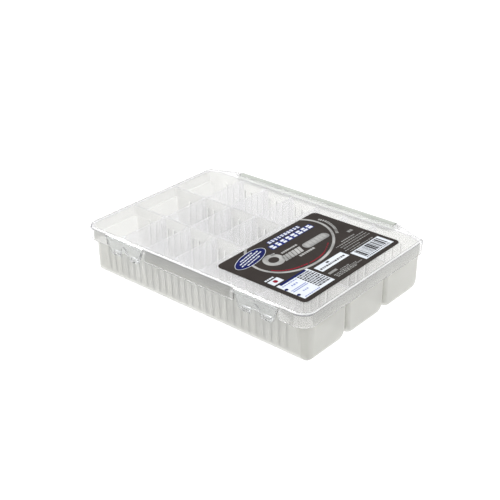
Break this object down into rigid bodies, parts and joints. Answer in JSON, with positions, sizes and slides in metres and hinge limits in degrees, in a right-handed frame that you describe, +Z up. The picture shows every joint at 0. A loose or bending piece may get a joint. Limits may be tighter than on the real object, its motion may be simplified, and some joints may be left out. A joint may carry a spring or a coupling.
{
  "type": "fishing tackle box",
  "caption": "Flat translucent plastic tackle box with three troughs, upright dividers, a hinged clear lid, two snap latches and a printed card on the lid.",
  "frame": {"origin": "under the centre of the closed box, on the plane it rests on", "axes": "+X along the hinge to the right seen from the latches, -Y towards the latches, +Z up"},
  "size_m": [0.205, 0.145, 0.04],
  "materials": {
    "tray_plastic": "translucent milky polypropylene, satin",
    "divider_plastic": "translucent polypropylene, satin",
    "lid_plastic": "clear, faintly blue, glossy",
    "latch_plastic": "clear, faintly blue, glossy",
    "steel": "plain drawn pin",
    "card": "printed film, dark, semi-gloss"
  },
  "bodies": {
    "base": {"tray": "tray_plastic", "divider_front_1": "divider_plastic", "divider_front_2": "divider_plastic", "divider_front_3": "divider_plastic", "divider_front_4": "divider_plastic", "divider_front_5": "divider_plastic", "divider_front_6": "divider_plastic", "divider_middle_1": "divider_plastic", "divider_middle_2": "divider_plastic", "divider_middle_3": "divider_plastic", "divider_middle_4": "divider_plastic", "divider_middle_5": "divider_plastic", "divider_middle_6": "divider_plastic", "divider_back_1": "divider_plastic", "divider_back_2": "divider_plastic", "divider_back_3": "divider_plastic", "divider_back_4": "divider_plastic", "divider_back_5": "divider_plastic", "divider_back_6": "divider_plastic"},
    "lid": {"lid": "lid_plastic", "lid_card": "card", "hinge_pin_left": "steel", "hinge_pin_right": "steel"},
    "latch_left": {"latch_left": "latch_plastic"},
    "latch_right": {"latch_right": "latch_plastic"}
  },
  "joints": [
    {"name": "lid_hinge", "type": "hinge", "parent": "base", "child": "lid", "pos_m": [0, 0.0695, 0.037], "axis": [-1, 0, 0], "range_deg": [0, 180]},
    {"name": "latch_left_hinge", "type": "hinge", "parent": "lid", "child": "latch_left", "pos_m": [-0.061, -0.0715, 0.0354], "axis": [-1, 0, 0], "range_deg": [0, 100]},
    {"name": "latch_right_hinge", "type": "hinge", "parent": "lid", "child": "latch_right", "pos_m": [0.061, -0.0715, 0.0354], "axis": [-1, 0, 0], "range_deg": [0, 100]}
  ]
}
